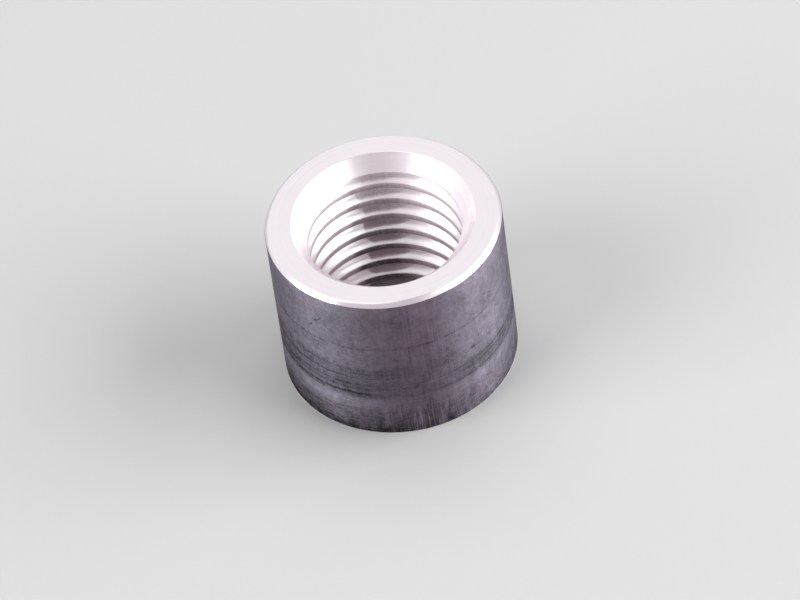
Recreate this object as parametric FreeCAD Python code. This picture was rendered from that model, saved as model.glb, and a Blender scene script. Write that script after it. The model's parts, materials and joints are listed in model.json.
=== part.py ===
import FreeCAD, Part
import math
import os

# A plain round weld nut, in millimetres, standing on its lower end face

# Tapped hole: metric fine thread, right hand, its tap drill one pitch under the thread's size
thread_diameter = 12.0
thread_pitch = 1.5
flank_angle = 60.0
root_flat_share = 0.125
tap_drill_diameter = thread_diameter - thread_pitch

# Where the groove's middle leaves the top face, in degrees anticlockwise from +X
runout_angle = 100.0

# Countersinks at both ends, a little wider at the mouth than the thread
countersink_clearance = 0.5
countersink_angle = 90.0
countersink_diameter = thread_diameter + countersink_clearance

# Turned body: its side wall stands this far outside the root of the thread
body_height = 12.7
wall_thickness = 2.0
body_diameter = thread_diameter + 2 * wall_thickness
top_chamfer = 0.3
lower_rim_break = 0.1

# The drilled hole's surface is made in this many equal stretches round the axis
hole_stretches = 4

CENTRE = FreeCAD.Vector(0, 0, 0)
UP = FreeCAD.Vector(0, 0, 1)


def solid_of_revolution(outline):
    """Turn a closed outline of (radius, height) corners about the vertical axis."""
    corners = [FreeCAD.Vector(radius, 0, height) for radius, height in outline]
    face = Part.Face(Part.makePolygon(corners + corners[:1]))
    return face.revolve(CENTRE, UP, 360)


def turned_body():
    """Bar stock faced to length, chamfered at the top edge and deburred at the lower one."""
    radius = body_diameter / 2
    return solid_of_revolution([
        (0, 0),
        (radius - lower_rim_break, 0),
        (radius, lower_rim_break),
        (radius, body_height - top_chamfer),
        (radius - top_chamfer, body_height),
        (0, body_height),
    ])


def drilled_hole():
    """The tap drill's cylinder, right through, its surface in equal stretches round the axis."""
    stretch_angle = 360 / hole_stretches
    stretches = []
    for number in range(hole_stretches):
        stretch = Part.makeCylinder(
            tap_drill_diameter / 2, body_height, CENTRE, UP, stretch_angle
        )
        stretch.rotate(CENTRE, UP, number * stretch_angle)
        stretches.append(stretch)
    return stretches[0].fuse(stretches[1:])


def countersink(mouth_height, inward):
    """The cone that opens one end: widest in the end face, narrowing inward (+1 up, -1 down)."""
    mouth_radius = countersink_diameter / 2
    depth = mouth_radius / math.tan(math.radians(countersink_angle / 2))
    return solid_of_revolution([
        (0, mouth_height),
        (mouth_radius, mouth_height),
        (0, mouth_height + inward * depth),
    ])


def thread_groove():
    """The groove that the tap leaves: a truncated V swept up a right-hand helix, past both ends."""
    root_radius = thread_diameter / 2
    inner_radius = tap_drill_diameter / 2 - thread_pitch / 10
    half_root = root_flat_share * thread_pitch / 2
    half_mouth = half_root + (root_radius - inner_radius) * math.tan(math.radians(flank_angle / 2))

    # Lowest turn below the lower face, and a groove that leaves through the top face at its angle
    turns = math.ceil(body_height / thread_pitch) + 2
    start = body_height - thread_pitch * (turns - 1 + runout_angle / 360)
    helix = Part.makeLongHelix(thread_pitch, turns * thread_pitch, tap_drill_diameter / 2, 0)
    helix.translate(UP * start)

    section = [
        FreeCAD.Vector(inner_radius, 0, start - half_mouth),
        FreeCAD.Vector(root_radius, 0, start - half_root),
        FreeCAD.Vector(root_radius, 0, start + half_root),
        FreeCAD.Vector(inner_radius, 0, start + half_mouth),
    ]
    return Part.Wire(helix.Edges).makePipeShell([Part.makePolygon(section + section[:1])], True, True)


def weld_nut():
    """The nut in the order it is machined: turn, drill, countersink both ends, tap."""
    blank = turned_body().cut(drilled_hole())
    blank = blank.cut([countersink(0, 1), countersink(body_height, -1)])
    return blank.cut(thread_groove()).Solids[0]


nut = weld_nut()
os.makedirs("parts", exist_ok=True)
nut.exportStep("parts/weld_nut.step")
print("weld_nut:", len(nut.Faces), "faces, volume", round(nut.Volume, 1), "mm3, valid", nut.isValid())
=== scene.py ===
# %% [markdown]
# # A round weld nut
#
# The real thing is a short length of aluminium bar, 16 mm across, with a fine thread cut right
# through it. A welder sets it into a hole in a tube or a plate and runs a bead round it, and from
# then on the thin metal has a strong thread. This lesson builds its looks in Blender, round a
# solid model of it that was drawn first and fixes every size.
#
# The solid model's box is kept now. Nothing here may grow past its box.

# %% Load the solid model and keep its box
import json
import math

import bmesh
import bpy
import numpy as np
from mathutils import Matrix, Vector


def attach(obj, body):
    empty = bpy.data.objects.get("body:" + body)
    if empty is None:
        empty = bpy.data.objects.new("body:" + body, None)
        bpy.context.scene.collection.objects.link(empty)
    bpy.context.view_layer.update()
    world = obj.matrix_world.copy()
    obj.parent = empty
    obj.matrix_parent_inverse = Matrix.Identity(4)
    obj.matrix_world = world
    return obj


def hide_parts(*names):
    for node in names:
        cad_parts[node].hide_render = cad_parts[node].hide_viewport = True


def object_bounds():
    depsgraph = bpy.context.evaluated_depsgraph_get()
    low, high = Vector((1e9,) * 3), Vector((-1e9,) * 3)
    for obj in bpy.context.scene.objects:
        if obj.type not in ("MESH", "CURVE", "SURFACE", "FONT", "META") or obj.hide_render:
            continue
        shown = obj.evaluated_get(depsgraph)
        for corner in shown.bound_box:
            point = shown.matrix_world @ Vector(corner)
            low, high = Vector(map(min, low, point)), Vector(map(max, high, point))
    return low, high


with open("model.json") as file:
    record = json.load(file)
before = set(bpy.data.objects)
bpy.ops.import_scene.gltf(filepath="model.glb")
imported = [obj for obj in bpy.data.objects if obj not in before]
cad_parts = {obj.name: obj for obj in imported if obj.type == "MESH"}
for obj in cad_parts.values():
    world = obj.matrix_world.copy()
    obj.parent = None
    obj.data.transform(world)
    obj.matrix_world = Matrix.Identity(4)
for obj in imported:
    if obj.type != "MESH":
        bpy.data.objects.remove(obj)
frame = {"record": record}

cad_low, cad_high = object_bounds()
print("solid model from", tuple(cad_low), "to", tuple(cad_high))

# %% [markdown]
# ## Sizes
#
# A nut has few sizes, and most come from the solid: its radius and height from the box, and the
# radius of the drilled hole from the mount that says where a screw goes. The rest belong to the
# thread's standard form or to how the turner finished the edges. They are written in millimetres,
# as on a drawing, and become metres only when a mesh is made.
#
# The run-out angle says where the thread begins: on that turn, counted from the X axis, the middle
# of the groove reaches the upper end face. Lengths that differ by less than rounding count as
# equal.

# %% Read the sizes
mm = 0.001
mounts = {mount["name"]: mount for mount in frame["record"]["mounts"]}
body_radius = (cad_high.x - cad_low.x) / 2 / mm
body_height = cad_high.z / mm
hole_radius = mounts["thread"]["dims"]["r_mm"]

thread_pitch = 1.5
root_radius = hole_radius + thread_pitch / 2
runout_angle = math.radians(100)
mouth_radius = root_radius + 0.25
top_chamfer = 0.3
rim_break = 0.1
rounding = 1e-6
print(f"body {2 * body_radius:.2f} x {body_height:.2f} mm")
print(f"thread {2 * root_radius:.2f} x {thread_pitch} mm")

# %% [markdown]
# ## The outside: a profile turned about the axis
#
# A lathe makes every outer surface of this nut: the end faces, the chamfer, the side wall and the
# mouths of the countersinks. So the shape is one profile of radii and heights, carried round the
# axis. The alternative, a cylinder with a Bevel modifier, gives every edge the same bevel, and on a
# real nut the top edge has a wide chamfer and the bottom one is only deburred.
#
# No real edge is perfectly sharp. Each corner of the profile is cut back a few hundredths of a
# millimetre, and that narrow band is what catches the light. The profile begins and ends a little
# way down the countersinks, where the surface of the hole takes over.

# %% Draw the turned profile
edge_ease = 0.035


def eased(corners, ease):
    """Cut each inner corner back to two points, one on each of its sides.

    They stand ease away from the corner, or a third of the side where that is less.
    """
    corners = np.asarray(corners, float)
    before, here, after = corners[:-2], corners[1:-1], corners[2:]

    def set_back(towards):
        side = towards - here
        length = np.linalg.norm(side, axis=1, keepdims=True)
        return here + side / length * np.minimum(ease, length / 3)

    pairs = np.stack([set_back(before), set_back(after)], axis=1).reshape(-1, 2)
    return np.vstack([corners[:1], pairs, corners[-1:]])


mouth_depth = 0.04
profile_corners = [
    (mouth_radius - mouth_depth, mouth_depth),
    (mouth_radius, 0),
    (body_radius - rim_break, 0),
    (body_radius, rim_break),
    (body_radius, body_height - top_chamfer),
    (body_radius - top_chamfer, body_height),
    (mouth_radius, body_height),
    (mouth_radius - mouth_depth, body_height - mouth_depth),
]
profile = eased(profile_corners, edge_ease)
print("profile of", len(profile), "points")

# %% [markdown]
# ## Marks that are deep enough to be shape
#
# Something rubbed one fine ring round the side, hardly more than a hundredth of a millimetre deep.
# It and the dents need points to move, so the straight side gets rows of its own, and they stand
# closer together at the ring. They go in above the wall's foot, the second of the two points that
# the corner there was cut back to.

# %% Give the side wall its rows
ring_height = 8.33
ring_half_width = 0.07
ring_depth = 0.015
wall_row_gap = 0.25

foot_point = 6
wall_foot, wall_top = profile[foot_point], profile[foot_point + 1]
wall_heights = np.arange(wall_foot[1] + wall_row_gap, wall_top[1] - wall_row_gap / 2, wall_row_gap)
wall_heights = wall_heights[np.abs(wall_heights - ring_height) > 2 * ring_half_width]
ring_rows = ring_height + ring_half_width * np.array([-1.0, -0.5, 0.0, 0.5, 1.0])
wall_heights = np.sort(np.concatenate([wall_heights, ring_rows]))
in_ring = np.clip(1 - np.abs(wall_heights - ring_height) / ring_half_width, 0, 1)
wall = np.stack([body_radius - ring_depth * in_ring, wall_heights], axis=1)
profile = np.vstack([profile[: foot_point + 1], wall, profile[foot_point + 1 :]])
print("side wall of", len(wall), "rows between", wall_foot[1], "and", wall_top[1])

# %% Carry the profile round the axis
columns = 360
angle = np.linspace(0, 2 * np.pi, columns + 1)


def placed(radius, height, angle):
    """Points turned about the Z axis: x = radius cos(angle), y = radius sin(angle), z = height."""
    radius, height, angle = np.broadcast_arrays(radius, height, angle)
    return np.stack([radius * np.cos(angle), radius * np.sin(angle), height], axis=-1) * mm


def bump_near(angle, height, at_angle, at_height, size):
    """A bell of height 1 on the side of the nut: e to the power of -(distance / size) squared."""
    turn = (angle - math.radians(at_angle) + np.pi) % (2 * np.pi) - np.pi
    return np.exp(-((turn * body_radius) ** 2 + (height - at_height) ** 2) / size**2)


outside_radius = np.repeat(profile[:, :1], columns + 1, axis=1)
outside_height = np.repeat(profile[:, 1:], columns + 1, axis=1)
print("outside grid", outside_radius.shape)

# %% [markdown]
# ## Dents
#
# A nut from a bin has knocked against others. Where a rim was hit the metal is pushed in, and one
# dent is on the side. Each is a bell-shaped push on the points near one place. The pushes fade to
# nothing before the seam of the grid, so the skin still closes.

# %% Knock the rims and the side
knock_depth = 0.045
rim_height = body_height - top_chamfer
knocks = (
    bump_near(angle, outside_height, 32, rim_height, 0.30)
    + 0.7 * bump_near(angle, outside_height, 151.5, rim_height, 0.22)
    + 0.8 * bump_near(angle, outside_height, -41, 0, 0.35)
    + 0.6 * bump_near(angle, outside_height, -128, rim_height, 0.16)
    + 0.5 * bump_near(angle, outside_height, -43, 8.0, 0.25)
)
near_outside = outside_radius > body_radius - 2 * top_chamfer
outside_radius = outside_radius - knock_depth * knocks * near_outside
print(f"deepest knock {knock_depth * knocks.max():.3f} mm")

outside = placed(outside_radius, outside_height, angle[None, :])

# %% [markdown]
# ## The inside: rows that climb with the thread
#
# A thread is a groove that climbs one pitch for each turn. If the rows of the grid were level, they
# would cut across the groove and its edges would come out jagged. Here every row climbs too: it
# follows one edge of the groove, so each crest, flank and root is a clean strip of faces.
#
# The groove's section is a V of 60 degrees with a narrow flat at its root. The flat left between
# two grooves is the crest, and it is what the tap drill's hole leaves. At each end the thread runs
# into the countersink, a 45 degree cone. The surface is whichever of the two is wider there, and a
# row is added between each pair, placed just where the strip meets the cone.

# %% Work out the thread's section
flank_slope = math.tan(math.radians(30))
root_half = thread_pitch / 16
groove_half = root_half + (root_radius - hole_radius) * flank_slope
section = eased(
    [
        (hole_radius, -thread_pitch / 2),
        (hole_radius, -groove_half),
        (root_radius, -root_half),
        (root_radius, root_half),
        (hole_radius, groove_half),
        (hole_radius, thread_pitch / 2),
    ],
    edge_ease,
)[1:-1]
print(f"crest {thread_pitch - 2 * groove_half:.3f} mm wide")
print(f"groove {2 * groove_half:.3f} mm wide at its mouth")

# %% Climb the section up the hole
turns_below = 2
turns = np.arange(-turns_below, math.ceil(body_height / thread_pitch) + 1)
groove_start = (body_height - thread_pitch * runout_angle / (2 * np.pi)) % thread_pitch
row_height = (turns[:, None] * thread_pitch + section[None, :, 1]).ravel() + groove_start
row_radius = np.tile(section[:, 0], len(turns))

# %% [markdown]
# ## Edges that the tap tore
#
# Aluminium is soft, and a tap drags a little of it along. The crests' edges are not clean lines but
# finely ragged ones, and the raggedness is what glitters. The points at the crests move outwards by
# a few thousandths of a millimetre, each by its own amount from a seeded draw, evened out a little
# along the row. The tears fade out where a crest comes near the countersink.

# %% Tear the crest edges
tear_depth = 0.005
tear_free = 0.3
draw = np.random.default_rng(12)
at_crest = row_radius < hole_radius + edge_ease
tears = draw.normal(size=(len(row_radius), columns))
tears = (np.roll(tears, 1, axis=1) + 2 * tears + np.roll(tears, -1, axis=1)) / 4
tears = np.abs(tears) * at_crest[:, None] * tear_depth
tears = np.concatenate([tears, np.zeros((len(tears), 1))], axis=1)
rows_a_turn = len(section)
tears[:-rows_a_turn, -1] = tears[rows_a_turn:, 0]
print(f"tears of {tears[at_crest].mean():.4f} mm on average")


# %% Open both ends with the countersinks
def cone_radius(height):
    """Radius of the 45 degree countersinks: the mouth's, less the depth below the nearer face."""
    depth = np.minimum(height, body_height - height)
    return mouth_radius - depth


def open_thread(height, radius):
    """Heights and radii of the hole's surface.

    Between two rows, a third stands where the straight line between them meets the cone. Where it
    doesn't meet it, the third stands at the nearer end, and further off halfway, so that its place
    never jumps between columns. The radius is the larger of thread and cone, and what lies past the
    countersink's mouth is drawn back to it.
    """
    over = radius - cone_radius(height)
    change = over[:-1] - over[1:]
    share = over[:-1] / np.where(change == 0, 1, change)
    share = np.interp(share, (-1, 0, 1, 2), (0.5, 0, 1, 0.5))
    both_height = np.empty((2 * len(height) - 1, height.shape[1]))
    both_radius = np.empty_like(both_height)
    for both, rows in ((both_height, height), (both_radius, radius)):
        both[::2] = rows
        both[1::2] = rows[:-1] + share * (rows[1:] - rows[:-1])
    on_cone = both_radius < cone_radius(both_height) + rounding
    both_radius = np.maximum(both_radius, cone_radius(both_height))
    both_height = np.clip(both_height, mouth_depth, body_height - mouth_depth)
    return both_height, np.minimum(both_radius, mouth_radius - mouth_depth), on_cone


climbing_height = row_height[:, None] + thread_pitch * angle[None, :] / (2 * np.pi)
tears *= np.clip((hole_radius - cone_radius(climbing_height)) / tear_free, 0, 1)
hole_heights, hole_radii, on_cone = open_thread(climbing_height, row_radius[:, None] + tears)
inside = placed(hole_radii, hole_heights, angle[None, :])
print("inside grid", inside.shape)

# %% [markdown]
# ## One closed skin
#
# The two grids meet in the rings at the countersinks' mouths. The last column stands on the first,
# one pitch further up the rows. Both joins close by merging points that share a place, and so do
# the rows that were drawn back to the mouth. What is left is one watertight skin.
#
# The faces carry one of three finishes: the dull side of the bar, the turned ends with their
# countersinks, and the tapped thread. The skin is shaded smooth except at sharp edges. The thread
# meets the cone at a shallow angle in places, so its whole border is marked as sharp. Otherwise
# the light would smear across it where the groove thins out.

# %% Merge both grids into the nut
SIDE, TURNED, TAPPED = 0, 1, 2


def grid_faces(rows, columns, first):
    """Corner numbers of the quads between a grid's neighbouring rows and columns, from first on."""
    corner = first + np.arange(rows * columns).reshape(rows, columns)
    return np.stack([corner[:-1, :-1], corner[:-1, 1:], corner[1:, 1:], corner[1:, :-1]], axis=-1)


outside_faces = grid_faces(*outside.shape[:2], 0)
inside_faces = grid_faces(*inside.shape[:2], outside[..., 0].size)[..., ::-1]

strip_middle = (profile[1:] + profile[:-1]) / 2
side_strips = strip_middle[:, 0] > body_radius - ring_depth - rounding
outside_finish = np.where(side_strips, SIDE, TURNED)[:, None].repeat(columns, axis=1)
cone_faces = on_cone[:-1, :-1] & on_cone[:-1, 1:] & on_cone[1:, 1:] & on_cone[1:, :-1]
inside_finish = np.where(cone_faces, TURNED, TAPPED)

nut_mesh = bpy.data.meshes.new("weld_nut_dressed")
nut_mesh.from_pydata(
    np.concatenate([outside.reshape(-1, 3), inside.reshape(-1, 3)]),
    [],
    np.concatenate([outside_faces.reshape(-1, 4), inside_faces.reshape(-1, 4)]),
)
finish_of_face = np.concatenate([outside_finish.ravel(), inside_finish.ravel()])
nut_mesh.polygons.foreach_set("material_index", finish_of_face.astype(np.int32))

# %% Close the skin
merge_distance = 1e-4
nut_bmesh = bmesh.new()
nut_bmesh.from_mesh(nut_mesh)
bmesh.ops.remove_doubles(nut_bmesh, verts=nut_bmesh.verts, dist=merge_distance * mm)
bmesh.ops.recalc_face_normals(nut_bmesh, faces=nut_bmesh.faces)
open_edges = sum(not edge.is_manifold for edge in nut_bmesh.edges)
nut_bmesh.to_mesh(nut_mesh)
volume = nut_bmesh.calc_volume(signed=True) / mm**3
finishes_beside = [{face.material_index for face in edge.link_faces} for edge in nut_bmesh.edges]
thread_border = np.array([TAPPED in beside and len(beside) > 1 for beside in finishes_beside])
nut_bmesh.free()
print(f"{len(nut_mesh.polygons)} faces, {open_edges} open edges, {volume:.1f} mm3")

# %% Shade it
nut = bpy.data.objects.new("nut", nut_mesh)
bpy.context.scene.collection.objects.link(nut)
nut_mesh.shade_smooth()
nut_mesh.set_sharp_from_angle(angle=math.radians(40))
sharp_edges = nut_mesh.attributes["sharp_edge"].data
sharp = np.zeros(len(thread_border), bool)
sharp_edges.foreach_get("value", sharp)
sharp_edges.foreach_set("value", sharp | thread_border)
print((sharp | thread_border).sum(), "sharp edges")
even_shading = nut.modifiers.new("even_shading", "WEIGHTED_NORMAL")
even_shading.keep_sharp = True

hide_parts("weld_nut")
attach(nut, "root")

# %% [markdown]
# ## Writing finishes as sums
#
# A finish is a network of nodes, and drawing one by hand hides its arithmetic. The small class
# below wraps one socket, so that an expression such as 1 - mask * 0.4 adds its own Math nodes, and
# the formula stays readable. Every other kind of node comes from one method.

# %% A socket that can be added and multiplied
class Socket:
    """One output in a material's network. Arithmetic adds Math nodes, and node() any other kind."""

    def __init__(self, tree, output=None):
        self.tree, self.output = tree, output

    def node(self, kind, settings=None, inputs=None, output=0):
        """Add a node, give it its settings, then set or link its inputs by name or number."""
        made = self.tree.nodes.new(kind)
        for name, value in (settings or {}).items():
            setattr(made, name, value)
        for name, value in (inputs or {}).items():
            if isinstance(value, Socket):
                self.tree.links.new(value.output, made.inputs[name])
            else:
                made.inputs[name].default_value = value
        return Socket(self.tree, made.outputs[output] if made.outputs else None)

    def other(self, output):
        """Another output of the node that this socket belongs to."""
        return Socket(self.tree, self.output.node.outputs[output])

    def math(self, operation, *values):
        """The Math node's operation on these values, which may be sockets or numbers."""
        return self.node("ShaderNodeMath", {"operation": operation}, dict(enumerate(values)))

    def __add__(self, value):
        return self.math("ADD", self, value)

    def __sub__(self, value):
        return self.math("SUBTRACT", self, value)

    def __rsub__(self, value):
        return self.math("SUBTRACT", value, self)

    def __mul__(self, value):
        return self.math("MULTIPLY", self, value)

    def __truediv__(self, value):
        return self.math("DIVIDE", self, value)

    def __abs__(self):
        return self.math("ABSOLUTE", self)

    __radd__, __rmul__ = __add__, __mul__


def new_finish(name):
    """A material with nothing in it, and a socket to build its network from."""
    material = bpy.data.materials.new(name)
    material.use_nodes = True
    material.node_tree.nodes.clear()
    return material, Socket(material.node_tree)


# %% [markdown]
# ## Where a point is on the nut
#
# Everything that marked this metal went along the bar, round it, or along the thread. So the
# patterns need a point's place in those terms: its height, its distance from the axis, and its
# turn, counted from the front. All are in millimetres and radians, from Object coordinates, which
# stay with the nut when it is moved.

# %% Find a point's place
class Place:
    """A surface point, in millimetres and radians.

    radius is its distance from the axis, the square root of x x + y y. turn is counted from the
    front and grows to the right: arctan2(x, -y).
    """

    def __init__(self, net):
        metres = net.node("ShaderNodeTexCoord").other("Object")
        to_mm = {0: metres, "Scale": 1 / mm}
        self.point = net.node("ShaderNodeVectorMath", {"operation": "SCALE"}, to_mm)
        self.x = net.node("ShaderNodeSeparateXYZ", inputs={0: self.point})
        self.y, self.height = self.x.other("Y"), self.x.other("Z")
        self.radius = net.math("SQRT", self.x * self.x + self.y * self.y)
        self.turn = net.math("ARCTAN2", self.x, 0 - self.y)


def fade(value, start, end):
    """0 up to start, 1 from end on, and a smooth step between. With start above end it falls."""
    return value.node(
        "ShaderNodeMapRange",
        {"interpolation_type": "SMOOTHSTEP"},
        {"Value": value, "From Min": start, "From Max": end},
    )


def grain(vector, cells, detail=2.0, roughness=0.5):
    """Noise from 0 to 1 with so many cells a millimetre along X, Y and Z.

    Marks run where the cells are few, and lie close together where they are many.
    """
    factors = {0: vector, 1: cells}
    stretched = vector.node("ShaderNodeVectorMath", {"operation": "MULTIPLY"}, factors)
    return vector.node(
        "ShaderNodeTexNoise",
        inputs={"Vector": stretched, "Scale": 1.0, "Detail": detail, "Roughness": roughness},
    )


def line_grain(along, cells, detail=3.0):
    """Noise from 0 to 1 that changes with one number only, with so many cells a millimetre."""
    return along.node(
        "ShaderNodeTexNoise",
        {"noise_dimensions": "1D"},
        {"W": along * cells, "Scale": 1.0, "Detail": detail},
    )


def blend(share, from_colour, to_colour):
    """Colour mixed from one to the other by share. A Mix node's colours are its inputs 6 and 7."""
    colours = {0: share, 6: from_colour, 7: to_colour}
    return share.node("ShaderNodeMix", {"data_type": "RGBA"}, colours, output=2)


def shaded(colour, shade):
    """The colour times shade, a number that changes over the surface."""
    return shade.node("ShaderNodeVectorMath", {"operation": "SCALE"}, {0: colour, "Scale": shade})


quarter_turn = 0.25


def metal(net, colour, roughness, relief, relief_depth, stretch, edge=(1, 1, 1, 1)):
    """Bare metal. relief is a height, and 1 of it stands for relief_depth millimetres.

    stretch is how far reflections are drawn out, a quarter turn off the shader's own direction, and
    edge tints the metal where it is seen at a glancing angle.
    """
    normal = net.node(
        "ShaderNodeBump", inputs={"Strength": 1.0, "Distance": relief_depth * mm, "Height": relief}
    )
    shader = net.node(
        "ShaderNodeBsdfPrincipled",
        inputs={
            "Base Color": colour,
            "Roughness": roughness,
            "Metallic": 1.0,
            "Specular Tint": edge,
            "Anisotropic": stretch,
            "Anisotropic Rotation": quarter_turn,
            "Normal": normal,
        },
    )
    net.node("ShaderNodeOutputMaterial", inputs={"Surface": shader})


# %% [markdown]
# ## The side of the bar
#
# The side was never machined. It is the bar as it was drawn through its die: dull, a little purple
# in its grey, with fine lines along it. They show best in the middle of the front. Towards the left
# and the right, scuffs and leaning hairlines from rough handling cover them.
#
# Later the bar was gripped, turned and rubbed, which left a darker worn band low on the side, with
# worn lines running round it, and one thin ring above. The band's darkness is partly that wear and
# partly painted shade. Near the foot it's brushed in upright strokes, and dirt sits along the lower
# rim. The wall is also painted darker towards the foot, more on the left, as painted shade, and
# painted lighter at its top and on the upper right, as painted reflection. The front is painted a
# warmer grey and the left and right a cooler one, as painted reflection tints. The masks called
# left and right say where the wear, the painted shade and the tints are strongest. Behind the nut
# they meet, so the wear there is even.

# %% Marks along and round the bar
side_finish, net = new_finish("drawn_side")
place = Place(net)

drawn_lines = grain(place.point, (8.0, 8.0, 0.22), detail=4, roughness=0.65)
cloud = grain(place.point, (0.55, 0.55, 0.40), detail=4, roughness=0.6)
round_marks = grain(place.point, (0.09, 0.09, 4.2), detail=4, roughness=0.7)
fine_round_marks = grain(place.point, (0.35, 0.35, 6.5), detail=3, roughness=0.65)
specks = grain(place.point, (2.6, 2.6, 1.9), detail=3, roughness=0.6)
mottle = grain(place.point, (1.7, 1.7, 1.2), detail=4, roughness=0.7)
scuffs = grain(place.point, (3.4, 3.4, 4.6), detail=3, roughness=0.75)


def leaning_lines(lean, cells):
    """Short marks on the unrolled side, which go lean millimetres to the left for each one up."""
    sideways = place.turn * body_radius + place.height * lean
    unrolled = net.node("ShaderNodeCombineXYZ", inputs={"X": sideways, "Y": place.height})
    return fade(grain(unrolled, cells, detail=3, roughness=0.7), 0.54, 0.74)


hairlines = (
    leaning_lines(-0.8, (5.5, 0.8, 1))
    + leaning_lines(1.3, (4.5, 0.9, 1))
    + leaning_lines(-3.0, (2.6, 1.4, 1))
)

behind = fade(place.y, -1.0, 4.0)
left = fade(place.x, 1.0, -4.5) * (1 - behind) + fade(place.x, 1.5, -1.5) * behind
right = fade(place.x, 1.5, 5.0) * (1 - behind) + fade(place.x, -1.5, 1.5) * behind
both_sides = left + right

# %% The worn band, the ring and the foot
band_foot, band_top = 3.45, 6.6
wavy_height = place.height + (cloud - 0.5) * 0.35
above_band_foot = fade(wavy_height, band_foot - 0.15, band_foot + 0.15)
in_band = above_band_foot * fade(wavy_height, band_top + 0.3, band_top - 0.5)


def level_line(height, width):
    """1 on a line round the bar, 0 from half its width on, and broken up by the mottle."""
    off = place.height - height + (cloud - 0.5) * 0.12
    return fade(abs(off), width / 2, 0) * fade(mottle, 0.30, 0.52)


left_lines = level_line(6.2, 0.22) + level_line(5.42, 0.20) * 0.9 + level_line(3.86, 0.34) * 1.2
right_lines = level_line(5.8, 0.22) * 0.7 + level_line(3.6, 0.20) * 0.6
lines_all_round = level_line(4.74, 0.26) + level_line(4.35, 0.5) * 0.6
all_round = 0.35 + 0.65 * both_sides
worn_lines = left * left_lines + right * right_lines + all_round * lines_all_round
rubbed = fade(round_marks, 0.46, 0.64) + fade(fine_round_marks, 0.50, 0.68) * 0.5
# Painted light: the upper right is painted lighter, and the band's darkening is lifted there.
upper_right_painted_light = right * fade(place.height, 4.6, 5.4)
# The band's darkness is partly wear and partly painted shade.
band_wear_and_shade_level = 0.10 + both_sides * 0.14 + rubbed * (0.05 + left * 0.17 + right * 0.06)
band_wear_and_painted_shade = in_band * band_wear_and_shade_level * (1 - upper_right_painted_light * 0.75) + worn_lines * 0.26

ring_off = place.height - ring_height + (cloud - 0.5) * 0.05
ring = fade(abs(ring_off), 0.13, 0.03)
ring_dark = ring * (0.10 + fade(specks, 0.42, 0.6) * 0.22)

below_band = fade(wavy_height, band_foot, band_foot - 0.35)
under_band = fade(abs(place.height - 3.0), 0.65, 0.1) * both_sides
upright = fade(grain(place.point, (4.2, 4.2, 0.38), detail=4, roughness=0.7), 0.46, 0.64)
near_front = fade(abs(place.turn - 0.14), 0.55, 0.12)
brushed = (upright - 0.35) * fade(place.height, 3.4, 1.2) * near_front
# Painted shade: the wall is painted darker towards the foot, more on the left.
painted_foot_shade = fade(place.height, 2.7, 1.5) * (0.13 + left * 0.24)
painted_foot_shade += fade(place.height, 1.4, 0.2) * (0.17 + left * 0.12)
dirt = fade(grain(place.point, (3.2, 3.2, 1.6), detail=5, roughness=0.75), 0.46, 0.60)
rim_dirt = fade(place.height, 1.3, 0.1) * dirt


# %% Scratches and small dents
def scratch(place, turn, height, length, lean, width, wander=0.0):
    """1 on a straight mark, fading to 0 at its ends and its edges.

    Its middle is at turn, in degrees from the front, and at height. It leans from level by lean
    degrees, and the specks make its line wander.
    """
    across_turn = (place.turn - math.radians(turn)) * body_radius
    up = place.height - height
    cos, sin = math.cos(math.radians(lean)), math.sin(math.radians(lean))
    along = across_turn * cos + up * sin
    across = up * cos - across_turn * sin + (specks - 0.5) * wander
    return fade(abs(along), length / 2, length / 2 * 0.6) * fade(abs(across), width / 2, width / 6)


scratches = (
    scratch(place, -41.5, 10.25, 1.15, 44, 0.13, 0.5)
    + scratch(place, -46.5, 9.45, 0.9, 62, 0.08, 0.5) * 0.6
    + scratch(place, -27.6, 8.0, 0.85, -58, 0.12, 0.7)
    + scratch(place, 46.0, 3.1, 0.8, 80, 0.11, 0.6)
    + scratch(place, 55.8, 2.65, 0.6, 70, 0.10, 0.5) * 0.7
    + scratch(place, 36.2, 5.9, 0.8, 8, 0.22, 0.6) * 0.8
    + scratch(place, -66.9, 8.6, 0.7, 50, 0.25, 0.8) * 0.6
    + scratch(place, 100.0, 6.2, 1.4, 65, 0.12, 0.6)
    + scratch(place, 170.0, 9.1, 1.1, 30, 0.10, 0.6)
)
smudges = (
    scratch(place, 35.0, 11.0, 0.9, 70, 0.50, 0.9)
    + scratch(place, 23.0, 9.3, 0.9, 80, 0.35, 0.8)
    + scratch(place, 21.5, 7.0, 0.6, 60, 0.30, 0.8)
    + scratch(place, -59.5, 7.3, 0.7, 40, 0.35, 0.9)
    + scratch(place, -117.0, 10.2, 1.1, 30, 0.45, 0.9)
    + scratch(place, 142.0, 4.9, 0.9, 75, 0.40, 0.9)
)
dark_specks = fade(specks, 0.63, 0.72)

# %% Put the side together
shade = (
    1.0
    + (cloud - 0.5) * 0.65
    + (mottle - 0.5) * 0.80
    + (scuffs - 0.5) * (0.66 + both_sides * 0.42)
    + (hairlines - 0.25) * (0.11 + both_sides * 0.13)
    + (drawn_lines - 0.5) * (0.90 - both_sides * 0.45)
    + below_band * ((fine_round_marks - 0.5) * (0.4 + left * 0.6) + under_band * 0.14)
    # painted reflection: the top of the wall is painted lighter
    + fade(place.height, 10.7, 12.4) * 0.20
    + upper_right_painted_light * 0.07
    + brushed * 0.55
    - painted_foot_shade
    - band_wear_and_painted_shade
    - ring_dark
    - rim_dirt * 0.26
    - dark_specks * 0.22
    - scratches * 0.5
    - smudges * 0.22
)
darkest = 0.12
shade = net.math("MAXIMUM", shade, darkest)
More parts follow.
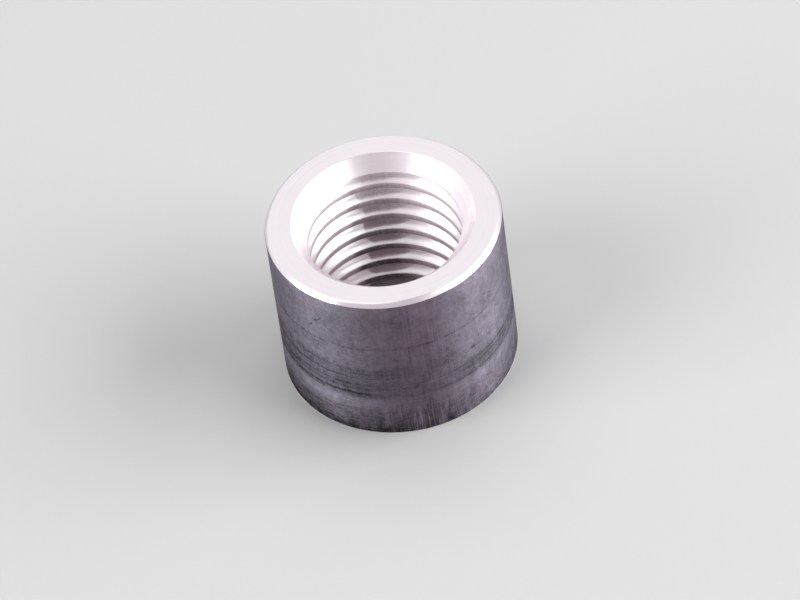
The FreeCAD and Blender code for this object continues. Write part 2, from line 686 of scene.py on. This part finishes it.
# Painted reflection: the front is painted a warmer grey and the left and right a cooler one.
front_metal_painted_warm_reflection = shaded((0.193, 0.155, 0.199), shade)
side_metal_painted_cool_reflection = shaded((0.200, 0.180, 0.221), shade)
side_roughness = (
    0.58
    + (drawn_lines - 0.5) * 0.15
    + (scuffs - 0.5) * 0.2
    + band_wear_and_painted_shade * 0.12
    - brushed * 0.15
)
side_relief = (
    drawn_lines * 0.8
    + scuffs * 1.1
    + hairlines * 0.25
    + round_marks * in_band * 1.2
    - scratches * 1.5
    - rim_dirt * 0.5
)
metal(
    net,
    blend(both_sides, front_metal_painted_warm_reflection, side_metal_painted_cool_reflection),
    side_roughness,
    side_relief,
    relief_depth=0.009,
    stretch=0.8,
    edge=(0.3, 0.3, 0.32, 1),
)

# %% [markdown]
# ## The turned ends
#
# The end faces, the chamfer and the countersinks were cut on a lathe. The tool leaves rings as fine
# as its feed, about a tenth of a millimetre apart, all centred on the axis. They hardly change the
# colour, but they draw every reflection out across themselves, which is what makes turned metal
# look turned. The shader's own anisotropy does that, and faint rings in roughness and relief show
# up close. The countersinks are a little duller than the faces.

# %% Rings round the axis
turned_finish, net = new_finish("turned_ends")
place = Place(net)
feed_rings = line_grain(place.radius, 9.0, detail=4)
coarse_rings = line_grain(place.radius, 1.6, detail=2)
smudge = grain(place.point, (0.5, 0.5, 0.5), detail=3)
ring_strength = 0.6 + (smudge - 0.5) * 0.8

turned_shade = (
    1.0
    + (feed_rings - 0.5) * 0.10 * ring_strength
    + (coarse_rings - 0.5) * 0.05
    + (smudge - 0.5) * 0.04
)
turned_colour = shaded((0.885, 0.825, 0.868), turned_shade)
on_countersink = fade(place.radius, mouth_radius + 0.02, mouth_radius - 0.04)
turned_roughness = (
    0.20
    + (feed_rings - 0.5) * 0.12 * ring_strength
    + (smudge - 0.5) * 0.06
    + on_countersink * 0.14
)
turned_relief = feed_rings * ring_strength
metal(net, turned_colour, turned_roughness, turned_relief, relief_depth=0.0012, stretch=0.45)

# %% [markdown]
# ## The tapped thread
#
# A tap cuts the groove and the drill before it left the crests. The tap's marks run along the
# groove, so this pattern follows the helix: it depends on how far a point lies across the groove,
# and only slowly on where it lies along it. A point's place across the groove is what is left of
# the turns of thread below it when the whole turns are taken away.

# %% Marks along the helix
tapped_finish, net = new_finish("tapped_thread")
place = Place(net)
climb = place.height - groove_start - thread_pitch / (2 * math.pi) * (place.turn - math.pi / 2)
across_groove = net.math("FRACT", climb / thread_pitch)
groove_depth = (place.radius - hole_radius) / (root_radius - hole_radius)

helix_point = net.node(
    "ShaderNodeCombineXYZ",
    inputs={"X": place.radius * 9.0, "Y": across_groove * 18.0, "Z": place.x * 0.25},
)
tap_marks = grain(helix_point, (1.0, 1.0, 1.0), detail=3, roughness=0.6)
crest_marks = grain(place.point, (6.0, 6.0, 2.0), detail=4, roughness=0.7)
patches = grain(place.point, (0.6, 0.6, 0.9), detail=3)

# %% [markdown]
# ### Oil and painted shade in the groove
#
# Cutting oil and fine dirt stay in the bottom of the groove. Straight across from the camera a row
# of patches, one to a turn, is painted shade in the oil's colour, and each has a clear lower edge.
# The oil and the patches are painted darker down the hole, as painted shade. The crests are dull
# and ragged, and painted darker in the same place, as painted shade. Only the last crest, which
# thins out near the upper end face, stays light.

# %% Oil, wear and painted shade
on_crest = fade(groove_depth, 0.10, 0.0)
# Painted shade: darker deeper down the hole.
painted_depth_shade = fade(place.height, 10.5, 3.0)
last_crest = fade(place.height, body_height - 1.5, body_height - 1.05)

# Painted shade: a row of darker patches on the far side, and darker oil deeper down the hole.
patch_x = place.x + (patches - 0.5) * 1.4
far_patch_painted_shade = fade(patch_x, -1.65, -1.0) * fade(patch_x, 2.3, 0.5) * fade(place.y, 0.0, 2.0)
oil_and_shade_strength = (
    0.30
    + fade(place.height, 10.4, 5.5) * 0.60
    - fade(place.height, 10.5, 11.2) * 0.25
    + fade(patch_x, 1.4, -0.8) * 0.22
    + (crest_marks - 0.5)
)
oil_and_shade_reach = fade(groove_depth + (patches - 0.5) * 0.3 + far_patch_painted_shade * 0.60, 0.78, 1.00)
oil_and_painted_shade = net.math("MINIMUM", oil_and_shade_reach * (0.3 + far_patch_painted_shade * 0.7) * oil_and_shade_strength, 1.0)

# Painted shade: the crests are painted darker in the far side's middle, more so deeper down.
wavy_x = place.x + (patches - 0.5) * 1.2
middle = fade(wavy_x, -2.7, -1.7) * fade(wavy_x, 3.0, 0.3)
far_side = fade(place.y, 0.5, 6.0)
crest_painted_shade = far_side * (middle * (0.38 + painted_depth_shade * 0.46) - 0.02) * (1 - last_crest)

# %% Put the thread together
crest_shade = on_crest * ((crest_marks - 0.5) * 0.55 - crest_painted_shade)
thread_shade = 1.0 + (tap_marks - 0.5) * 0.30 + crest_shade
clean_thread = shaded((0.915, 0.868, 0.895), thread_shade)
# The crests' warm tint is a painted reflection.
crest_metal_painted_warm_reflection = shaded((0.87, 0.765, 0.81), thread_shade)
oiled_and_shaded_thread = shaded((0.41, 0.345, 0.37), thread_shade)
thread_colour = blend(oil_and_painted_shade, blend(on_crest, clean_thread, crest_metal_painted_warm_reflection), oiled_and_shaded_thread)
run_out = fade(place.height, body_height - 0.65, body_height - 0.35)
crest_roughness = on_crest * (0.26 + last_crest * 0.35)
thread_roughness = (
    0.34
    + (tap_marks - 0.5) * 0.12
    + crest_roughness
    + oil_and_painted_shade * 0.05
    + run_out * 0.20
)
thread_relief = tap_marks + crest_marks * on_crest
metal(net, thread_colour, thread_roughness, thread_relief, relief_depth=0.004, stretch=0.5)

for finish in (side_finish, turned_finish, tapped_finish):  # as SIDE, TURNED and TAPPED count them
    nut_mesh.materials.append(finish)
print("finishes:", [finish.name for finish in nut_mesh.materials])

# %% [markdown]
# ## A floor and a light tent
#
# Shiny metal shows what stands round it, so a nut like this is photographed in a tent: white on all
# sides, with a softbox at the left and one at the right, and a gap in front for the camera. The gap
# is what gives the metal its grey, because without it every face would be the same white. Here the
# world is the tent and two cards are the gap. A third card is the camera's own dark shape overhead,
# and a fourth a bright patch beside it. The cards show only in reflections, and neither they nor
# the lamps are seen by the camera.

# %% Floor
def flat_sheet(name, corners, finish):
    """A single rectangle through four corners, with the given finish."""
    mesh = bpy.data.meshes.new(name)
    mesh.from_pydata(corners, [], [(0, 1, 2, 3)])
    mesh.materials.append(finish)
    sheet = bpy.data.objects.new(name, mesh)
    bpy.context.scene.collection.objects.link(sheet)
    return sheet


floor_finish, net = new_finish("pale_floor")
shader = net.node("ShaderNodeBsdfDiffuse", inputs={"Color": (0.68, 0.68, 0.68, 1)})
net.node("ShaderNodeOutputMaterial", inputs={"Surface": shader})
reach = 0.6
floor_corners = [(-reach, -reach, 0), (reach, -reach, 0), (reach, reach, 0), (-reach, reach, 0)]
flat_sheet("floor", floor_corners, floor_finish)

# %% The cards
soft_left, soft_right = 0.05, 0.12


def glow_card(name, left, right, foot, head, level, warmth=0.05):
    """A card that glows at level, where 1 is white, and shows only in reflections.

    It reaches from left to right, and from foot to head, which are each (y, z). Its left and right
    sides fade out. warmth is the share of green that its light lacks, and half of that of blue.
    """
    finish, net = new_finish(name)
    metres = net.node("ShaderNodeTexCoord").other("Object")
    across = net.node("ShaderNodeSeparateXYZ", inputs={0: metres})
    seen = fade(across, left, left + soft_left) * fade(across, right, right - soft_right)
    colour = (level, level * (1 - warmth), level * (1 - warmth / 2), 1)
    glow = net.node("ShaderNodeEmission", inputs={"Color": colour})
    clear = net.node("ShaderNodeBsdfTransparent")
    shader = net.node("ShaderNodeMixShader", inputs={0: seen, 1: clear, 2: glow})
    net.node("ShaderNodeOutputMaterial", inputs={"Surface": shader})
    corners = [(left, *foot), (right, *foot), (right, *head), (left, *head)]
    card = flat_sheet(name, corners, finish)
    card.visible_camera = False
    card.visible_diffuse = False
    card.visible_shadow = False


glow_card("gap_low", -0.42, 0.29, (-0.34, 0.001), (-0.32, 0.10), level=0.08, warmth=0.2)
glow_card("gap_high", -0.37, 0.19, (-0.32, 0.10), (-0.16, 0.38), level=0.66, warmth=0.065)
glow_card("camera_overhead", -0.02, 0.21, (-0.24, 0.50), (-0.08, 0.52), level=0.25)
glow_card("bright_overhead", -0.34, 0.06, (-0.26, 0.53), (0.04, 0.54), level=1.5, warmth=0.0)

# %% [markdown]
# ### The tent's own light
#
# The world looks white to the camera and in reflections, but it lights the scene with only a fifth
# of that. Most of the light comes from the softboxes, so the nut casts a soft shadow.

# %% The tent itself
plain_light = 0.20
world = bpy.data.worlds.new("tent")
bpy.context.scene.world = world
world.use_nodes = True
world.node_tree.nodes.clear()
net = Socket(world.node_tree)
light_path = net.node("ShaderNodeLightPath")
seen_or_mirrored = net.math(
    "MAXIMUM", light_path.other("Is Camera Ray"), light_path.other("Is Glossy Ray")
)
shows_white = net.math("MAXIMUM", seen_or_mirrored, light_path.other("Is Transmission Ray"))
strength = shows_white * (1 - plain_light) + plain_light
background = net.node("ShaderNodeBackground", inputs={"Color": (1, 1, 1, 1), "Strength": strength})
net.node("ShaderNodeOutputWorld", inputs={"Surface": background})


# %% Softboxes
watts_for_white = 4


def softbox(name, stand, size, brightness):
    """A lit rectangle that stands at a place and faces the nut.

    brightness is how it looks in a mirror, where 1 is white. An area lamp looks white when it gives
    4 watts for each square metre, so its power is 4 x brightness x width x height.
    """
    lamp = bpy.data.lights.new(name, "AREA")
    lamp.shape = "RECTANGLE"
    lamp.size, lamp.size_y = size
    lamp.energy = brightness * watts_for_white * size[0] * size[1]
    box = bpy.data.objects.new(name, lamp)
    box.location = stand
    box.rotation_euler = (-Vector(stand)).to_track_quat("-Z", "Y").to_euler()
    bpy.context.scene.collection.objects.link(box)
    return box


softbox("left_softbox", (-0.47, -0.16, 0.28), (0.36, 0.56), 2.5)
softbox("right_softbox", (0.49, -0.08, 0.26), (0.58, 0.50), 3.1)
back_softbox = softbox("back_softbox", (0, 0.36, 0.78), (0.8, 0.6), 1.3)
back_softbox.visible_glossy = False

# %% [markdown]
# ## Camera
#
# A small thing photographed from 40 cm away shows little perspective, so the lens is long: its
# focal length is more than seven times the width of the frame. The camera stands 47 degrees above
# the floor and is tilted a little to one side, as a hand-held camera is. The aim is given as how
# far the nut's top centre lies from the middle of the picture, in millimetres at the nut.

# %% Place the camera
camera_elevation = math.radians(46.89)
camera_roll = math.radians(-8.24)
camera_distance = 400.8
aim_right, aim_up = -1.149, 5.467
focal_in_frames = 7.49

towards = Vector((0, -math.cos(camera_elevation), math.sin(camera_elevation)))
level_right = Vector((1, 0, 0))
level_up = Vector((0, math.sin(camera_elevation), math.cos(camera_elevation)))
picture_right = math.cos(camera_roll) * level_right + math.sin(camera_roll) * level_up
picture_up = -math.sin(camera_roll) * level_right + math.cos(camera_roll) * level_up
top_centre = Vector((0, 0, body_height))
aim_point = top_centre - aim_right * picture_right - aim_up * picture_up

lens = bpy.data.cameras.new("camera")
lens.sensor_width = 36
lens.lens = focal_in_frames * lens.sensor_width
lens.clip_start = 0.01
camera = bpy.data.objects.new("camera", lens)
turned = Matrix([picture_right, picture_up, towards]).transposed().to_4x4()
camera.matrix_world = Matrix.Translation((aim_point + camera_distance * towards) * mm) @ turned
bpy.context.scene.collection.objects.link(camera)
bpy.context.scene.camera = camera
bpy.context.scene.view_settings.view_transform = "Standard"
print(f"camera {camera_distance:.0f} mm away, lens of {lens.lens:.0f} mm")
